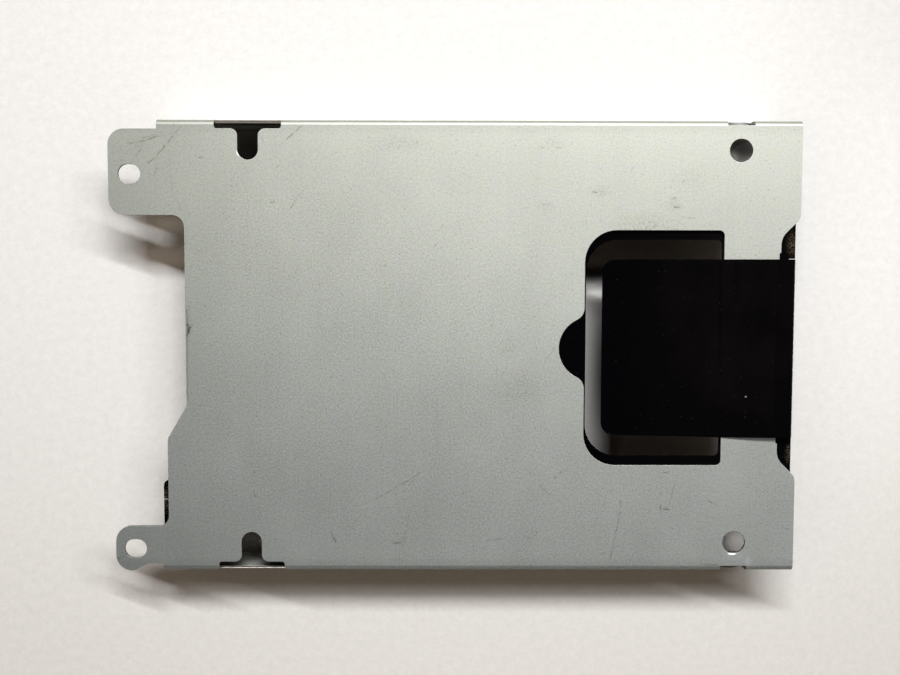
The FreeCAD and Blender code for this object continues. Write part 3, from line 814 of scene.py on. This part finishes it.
def makeDustMaterial():
    material, tree, output = newMaterial("looseDust")
    place = placeInMillimetres(tree)
    tone = grain(tree, place, dustLook["toneGrain"])
    tone = ramp(tree, tone, -dustLook["toneRange"], dustLook["toneRange"])
    colour = blendColour(tree, tone, dustLook["brown"], dustLook["pale"])
    surface = addNode(tree, "ShaderNodeBsdfPrincipled", inputs={
        "Base Color": colour, "Roughness": dustLook["roughness"],
    })
    tree.links.new(surface.outputs["BSDF"], output.inputs["Surface"])
    return material


def scatterDust(name, group, material):
    x, y, sizeX, sizeY, density, smallest, largest = dustLook["areas"][name]
    flat = dustLook["flatness"]
    values = {
        "Surface": film, "Middle": Vector((x, y, dustLook["above"])) / perMetre,
        "Size X": sizeX / perMetre, "Size Y": sizeY / perMetre,
        "Drop": dustLook["drop"] / perMetre, "Density": density * perMetre ** 2,
        "Smallest": Vector((smallest, smallest, smallest * flat)) / perMetre,
        "Largest": Vector((largest, largest, largest * flat)) / perMetre,
        "Seed": dustLook["seed"], "Material": material,
    }
    piece = bpy.data.objects.new(name, bpy.data.meshes.new(name))
    bpy.context.scene.collection.objects.link(piece)
    modifier = piece.modifiers.new("flakes", "NODES")
    modifier.node_group = group
    for socket in group.interface.items_tree:
        if socket.in_out == "INPUT":
            modifier[socket.identifier] = values[socket.name]
    bakeModifiers(piece)
    finishPiece(piece, material)
    return len(piece.data.polygons)


flakeGroup = makeFlakeGroup()
dustMaterial = makeDustMaterial()
for areaName in dustLook["areas"]:
    print("dust made:", areaName, scatterDust(areaName, flakeGroup, dustMaterial), "faces")


# table, lamps and surroundings

table = {
    "radius": 1.2,
    "paleFrom": 0.25,        # the table's rim runs into the pale surroundings
    "paleTo": 0.8,
    "near": (0.615, 0.606, 0.592, 1.0),     # painted shade: the paper is darker towards the viewer
    "far": (0.735, 0.737, 0.735, 1.0),
    "fadeReach": 0.07,
    "middle": (0.008, 0.009, 0.0),          # painted pool of light: the table is palest here
    "middleGain": 1.1,
    "middleFrom": 0.045,
    "middleTo": 0.12,
    "grain": 0.36,
    "grainSpacing": 0.0014,
    "grainDetail": 4.5,
    "grainRoughness": 0.9,
    "rim": (0.80, 0.79, 0.77, 1.0),
    "steps": 96,
    "trayInside": (34.7, 35.3),             # the painted shadow ends here at both flanges: from y to y
    "shade": [               # painted shadow on the paper inside the tray: x, y in mm, reach along x and y, share
        (-34.0, 31.5, 9.0, 8.0, 0.68), (-34.5, -32.0, 9.0, 8.0, 0.38), (48.3, 32.1, 4.5, 2.6, 0.78),
        (34.0, 17.6, 22.0, 6.0, 0.34), (34.5, -18.5, 22.0, 6.0, 0.37), (25.6, -5.0, 4.5, 24.0, 0.9),
        (25.8, -17.0, 4.5, 8.0, 0.6), (23.2, 11.8, 8.0, 2.0, 0.95),
    ],
    "lit": [                 # painted light on the paper under the holes, the wide ear and the window, and at the right
        (47.4, -33.3, 3.0, 3.0, 1.4), (-47.0, 19.8, 6.0, 2.0, 0.6), (-47.8, 14.4, 8.0, 2.8, 0.72),
        (45.6, 31.2, 1.9, 1.3, 1.6), (74.0, 4.0, 36.0, 44.0, 0.06), (24.6, 8.3, 4.5, 1.6, 0.75),
    ],
    "dim": [(78.0, 58.0, 40.0, 26.0, 0.07)],    # painted shade: the corner behind is a little darker
}
tubeLamps = [                # two tubes in one line, up and behind
    {"left": Vector((-0.438, 1.294, 1.2)), "right": Vector((0.68, 0.885, 1.2)), "power": 33.0},
    {"left": Vector((0.68, 0.885, 1.2)), "right": Vector((1.33, 0.647, 1.2)), "power": 7.5},
]
tubeLook = {
    "width": 0.05,
    "colour": (1.0, 0.995, 0.985),
}
room = {
    "pale": (0.80, 0.79, 0.77, 1.0),        # backdrop
    "backWall": (0.70, 0.70, 0.68, 1.0),    # walls that the sheet mirrors, behind and in front of the table
    "frontWall": (0.06, 0.06, 0.055, 1.0),
    "ceiling": (0.15, 0.161, 0.163, 1.0),
    "wallBelow": 0.10,
    "ceilingAbove": 0.32,
    "bounce": (0.245, 0.193, 0.146, 1.0),   # warm light from the walls that fills the shadows
    "leftGain": 1.6,                        # more of it comes from the left
    "rightGain": 0.6,
    "dark": (0.015, 0.012, 0.01, 1.0),      # none from the floor line or from straight above
    "bounceFrom": (0.15, 0.40),
    "bounceTo": (0.70, 0.92),
    "wallTurn": (-0.2, 0.6),                # directions: from front wall to back wall, along Y
    "gainTurn": (-0.8, 0.8),                # and from left to right, along X
    "directLimit": 0.5,                     # rays with fewer matt bounces than this see the room
}


def seenRays(tree):
    path = addNode(tree, "ShaderNodeLightPath").outputs
    seen = strongest(tree, [path["Is Camera Ray"], path["Is Glossy Ray"], path["Is Transmission Ray"]])
    direct = calc(tree, "LESS_THAN", path["Diffuse Depth"], room["directLimit"])
    return calc(tree, "MULTIPLY", seen, direct), path["Is Camera Ray"]


def paperGain(tree, place):
    # painted pool of light around the middle
    offset = calcVector(tree, "DISTANCE", place, table["middle"], "Value")
    gain = ramp(tree, offset, table["middleFrom"], table["middleTo"], table["middleGain"], 1.0)
    fibre = addNode(tree, "ShaderNodeTexNoise", inputs={
        "Vector": place, "Scale": 1 / table["grainSpacing"], "Detail": table["grainDetail"],
        "Roughness": table["grainRoughness"],
    })
    fibre = calc(tree, "SUBTRACT", fibre.outputs["Fac"], effects["noiseMiddle"])
    gain = calc(tree, "ADD", gain, calc(tree, "MULTIPLY", fibre, table["grain"]))
    flat = placeInMillimetres(tree)
    across = calc(tree, "ABSOLUTE", splitPlace(tree, flat)["Y"])
    # painted shadow inside the tray
    shade = drawSmudges(tree, flat, 0.0, table["shade"])
    shade = calc(tree, "MULTIPLY", shade, ramp(tree, across, *table["trayInside"], 1.0, 0.0))
    gain = lowerBy(tree, gain, shade)
    # painted light under the holes, the wide ear and the window, and at the right
    gain = raiseBy(tree, gain, drawSmudges(tree, flat, 0.0, table["lit"]))
    # painted shade on the corner behind
    return lowerBy(tree, gain, drawSmudges(tree, flat, 0.0, table["dim"]))


def makePaper():
    material, tree, output = newMaterial("palePaper")
    place = addNode(tree, "ShaderNodeTexCoord").outputs["Object"]
    rim = ramp(tree, lengthOf(tree, place), table["paleFrom"], table["paleTo"])
    # painted shade towards the viewer
    fade = ramp(tree, splitPlace(tree, place)["Y"], -table["fadeReach"], table["fadeReach"])
    paperColour = blendColour(tree, fade, table["near"], table["far"])
    paperColour = calcVector(tree, "SCALE", paperColour, paperGain(tree, place))
    paper = addNode(tree, "ShaderNodeBsdfDiffuse", inputs={"Color": paperColour})
    glow = addNode(tree, "ShaderNodeEmission", inputs={
        "Color": table["rim"], "Strength": seenRays(tree)[0],
    })
    mix = addNode(tree, "ShaderNodeMixShader", inputs={
        "Fac": rim, 1: paper.outputs["BSDF"], 2: glow.outputs["Emission"],
    })
    tree.links.new(mix.outputs["Shader"], output.inputs["Surface"])
    return material


def makeTable():
    turns = [2 * math.pi * step / table["steps"] for step in range(table["steps"])]
    points = [(table["radius"] * math.cos(turn), table["radius"] * math.sin(turn), 0.0) for turn in turns]
    mesh = bpy.data.meshes.new("table")
    mesh.from_pydata(points, [], [list(range(len(points)))])
    mesh.materials.append(makePaper())
    top = bpy.data.objects.new("table", mesh)
    bpy.context.scene.collection.objects.link(top)


def makeLamp(tube):
    along = tube["right"] - tube["left"]
    middle = (tube["right"] + tube["left"]) / 2
    data = bpy.data.lights.new("tubeLamp", "AREA")
    data.shape = "RECTANGLE"
    data.size = along.length
    data.size_y = tubeLook["width"]
    data.energy = tube["power"]
    data.color = tubeLook["colour"]
    lamp = bpy.data.objects.new("tubeLamp", data)
    lamp.location = middle
    back = middle.normalized()
    side = (along - back * along.dot(back)).normalized()
    up = back.cross(side)
    lamp.rotation_euler = Matrix((side, up, back)).transposed().to_euler()
    lamp.visible_camera = False
    bpy.context.scene.collection.objects.link(lamp)


def makeRoom():
    world = bpy.data.worlds.new("room")
    bpy.context.scene.world = world
    world.use_nodes = True
    tree = world.node_tree
    tree.nodes.clear()
    direction = addNode(tree, "ShaderNodeTexCoord").outputs["Generated"]
    parts = splitPlace(tree, direction)
    level = calc(tree, "ABSOLUTE", parts["Z"])
    wall = blendColour(tree, ramp(tree, parts["Y"], *room["wallTurn"]), room["frontWall"], room["backWall"])
    above = ramp(tree, level, room["wallBelow"], room["ceilingAbove"])
    mirrored = blendColour(tree, above, wall, room["ceiling"])
    band = ramp(tree, level, *room["bounceFrom"])
    band = calc(tree, "MULTIPLY", band, ramp(tree, level, *room["bounceTo"], 1.0, 0.0))
    fill = blendColour(tree, band, room["dark"], room["bounce"])
    sideGain = ramp(tree, parts["X"], *room["gainTurn"], room["leftGain"], room["rightGain"])
    fill = calcVector(tree, "SCALE", fill, sideGain)
    seen, cameraRay = seenRays(tree)
    colour = blendColour(tree, seen, fill, blendColour(tree, cameraRay, mirrored, room["pale"]))
    glow = addNode(tree, "ShaderNodeBackground", inputs={"Color": colour})
    output = addNode(tree, "ShaderNodeOutputWorld")
    tree.links.new(glow.outputs["Background"], output.inputs["Surface"])


makeTable()
for tube in tubeLamps:
    makeLamp(tube)
makeRoom()
print("table, lamps and room made")


# camera

view = {
    "lens": 38.0,
    "sensor": 36.0,
    "place": (-0.00145, 0.010797, 0.158195),
    "turn": (-3.5006, -0.2412, 0.1107),   # degrees
    "seesFrom": 0.01,                     # metres
    "seesTo": 20.0,
}


def makeCamera():
    data = bpy.data.cameras.new("camera")
    data.lens = view["lens"]
    data.sensor_width = view["sensor"]
    data.clip_start = view["seesFrom"]
    data.clip_end = view["seesTo"]
    camera = bpy.data.objects.new("camera", data)
    camera.location = view["place"]
    camera.rotation_euler = [math.radians(turn) for turn in view["turn"]]
    bpy.context.scene.collection.objects.link(camera)
    bpy.context.scene.camera = camera


makeCamera()
bpy.context.scene.view_settings.view_transform = "Standard"
print("scene ready")
